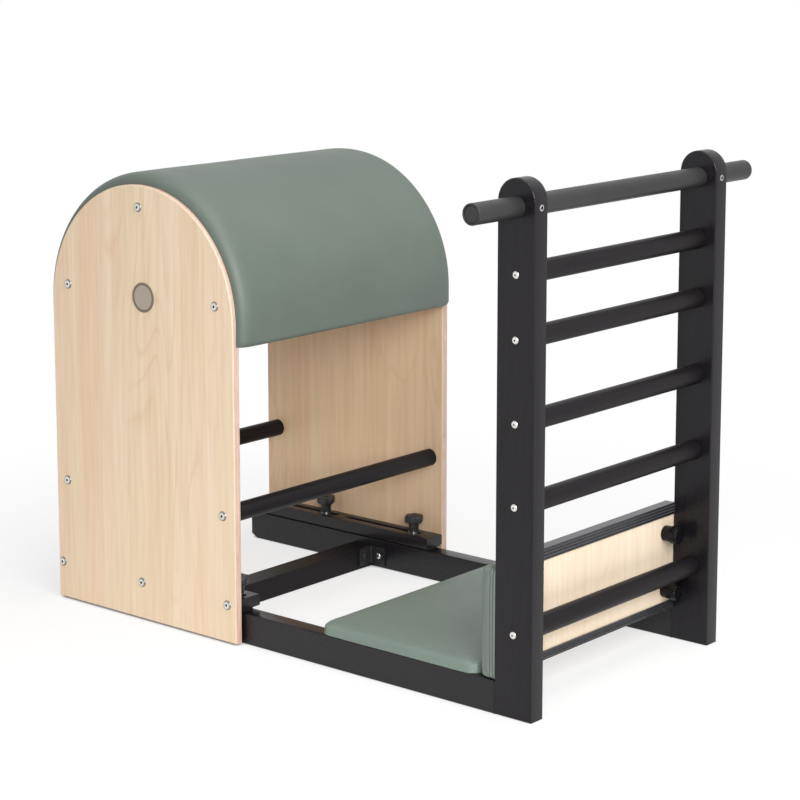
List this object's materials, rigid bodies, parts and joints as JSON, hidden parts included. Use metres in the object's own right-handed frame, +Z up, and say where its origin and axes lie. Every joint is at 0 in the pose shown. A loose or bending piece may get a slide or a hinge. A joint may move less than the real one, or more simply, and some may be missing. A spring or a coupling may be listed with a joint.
{
  "type": "pilates ladder barrel",
  "caption": "Padded half-round barrel on a sliding, clamped carriage, facing a wooden ladder with a padded floor board and heel board, joined by a low rail base.",
  "frame": {"origin": "on the floor, under the middle of the whole object at rest", "axes": "+X from the barrel to the ladder, +Y to the user's left when facing the ladder, +Z up"},
  "size_m": [1.28, 0.89, 1.005],
  "materials": {
    "base_lacquer": "black satin lacquer",
    "ladder_lacquer": "black satin lacquer",
    "rod_lacquer": "black satin lacquer",
    "panel_maple": "pale satin varnish, grain upright",
    "board_wood": "pale satin varnish",
    "plywood": "bare",
    "green_vinyl": "grey green upholstery vinyl, soft sheen",
    "bar_steel": "black powder coat",
    "bracket_steel": "black powder coat",
    "bright_steel": "bright zinc",
    "black_plastic": "moulded, matt",
    "trim_plastic": "ridged, matt",
    "glide_plastic": "smooth",
    "plate": "satin bronze tone, blank"
  },
  "bodies": {
    "base": {"rail_right": "base_lacquer", "rail_left": "base_lacquer", "crossbeam": "base_lacquer", "upright_right": "ladder_lacquer", "upright_left": "ladder_lacquer", "rung_1": "ladder_lacquer", "rung_2": "ladder_lacquer", "rung_3": "ladder_lacquer", "rung_4": "ladder_lacquer", "rung_5": "ladder_lacquer", "heel_board": "board_wood", "floor_board": "plywood", "floor_pad": "green_vinyl", "heel_pad": "green_vinyl", "top_bar": "bar_steel", "angle_bracket_right": "bracket_steel", "angle_bracket_left": "bracket_steel", "clamp_stud_front_right": "bright_steel", "clamp_stud_front_left": "bright_steel", "clamp_stud_rear_right": "bright_steel", "clamp_stud_rear_left": "bright_steel", "clamp_washer_front_right": "bright_steel", "clamp_washer_front_left": "bright_steel", "clamp_washer_rear_right": "bright_steel", "clamp_washer_rear_left": "bright_steel", "heel_trim_top": "trim_plastic", "heel_trim_low": "trim_plastic", "bar_cap_right": "trim_plastic", "bar_cap_left": "trim_plastic"},
    "carriage": {"cross_rod_front": "rod_lacquer", "cross_rod_rear": "rod_lacquer", "slide_batten_right": "rod_lacquer", "slide_batten_left": "rod_lacquer", "side_panel_right": "panel_maple", "side_panel_left": "panel_maple", "barrel_shell": "plywood", "stretcher_front": "plywood", "stretcher_top": "plywood", "stretcher_rear": "plywood", "barrel_pad": "green_vinyl", "glide_strip_right": "glide_plastic", "glide_strip_left": "glide_plastic", "badge_plate": "plate"},
    "clamp_knob_front_right": {"clamp_knob_front_right": "black_plastic"},
    "clamp_knob_front_left": {"clamp_knob_front_left": "black_plastic"},
    "clamp_knob_rear_right": {"clamp_knob_rear_right": "black_plastic"},
    "clamp_knob_rear_left": {"clamp_knob_rear_left": "black_plastic"},
    "heel_knob_low_right": {"heel_knob_low_right": "black_plastic"},
    "heel_knob_low_left": {"heel_knob_low_left": "black_plastic"},
    "heel_knob_high_right": {"heel_knob_high_right": "black_plastic"},
    "heel_knob_high_left": {"heel_knob_high_left": "black_plastic"}
  },
  "joints": [
    {"name": "barrel_slide", "type": "slide", "parent": "base", "child": "carriage", "axis": [1, 0, 0], "range_m": [-0.013, 0.175]},
    {"name": "clamp_turn_front_right", "type": "hinge", "parent": "base", "child": "clamp_knob_front_right", "pos_m": [-0.1186, -0.296, 0.0966], "axis": [0, 0, 1], "range_deg": [0, 720]},
    {"name": "clamp_turn_front_left", "type": "hinge", "parent": "base", "child": "clamp_knob_front_left", "pos_m": [-0.1466, 0.296, 0.0966], "axis": [0, 0, 1], "range_deg": [0, 720]},
    {"name": "clamp_turn_rear_right", "type": "hinge", "parent": "base", "child": "clamp_knob_rear_right", "pos_m": [-0.3826, -0.296, 0.0966], "axis": [0, 0, 1], "range_deg": [0, 720]},
    {"name": "clamp_turn_rear_left", "type": "hinge", "parent": "base", "child": "clamp_knob_rear_left", "pos_m": [-0.4106, 0.296, 0.0966], "axis": [0, 0, 1], "range_deg": [0, 720]},
    {"name": "heel_turn_low_right", "type": "hinge", "parent": "base", "child": "heel_knob_low_right", "pos_m": [0.555, -0.248, 0.109], "axis": [1, 0, 0], "range_deg": [0, 720]},
    {"name": "heel_turn_low_left", "type": "hinge", "parent": "base", "child": "heel_knob_low_left", "pos_m": [0.555, 0.248, 0.109], "axis": [1, 0, 0], "range_deg": [0, 720]},
    {"name": "heel_turn_high_right", "type": "hinge", "parent": "base", "child": "heel_knob_high_right", "pos_m": [0.555, -0.248, 0.227], "axis": [1, 0, 0], "range_deg": [0, 720]},
    {"name": "heel_turn_high_left", "type": "hinge", "parent": "base", "child": "heel_knob_high_left", "pos_m": [0.555, 0.248, 0.227], "axis": [1, 0, 0], "range_deg": [0, 720]}
  ]
}
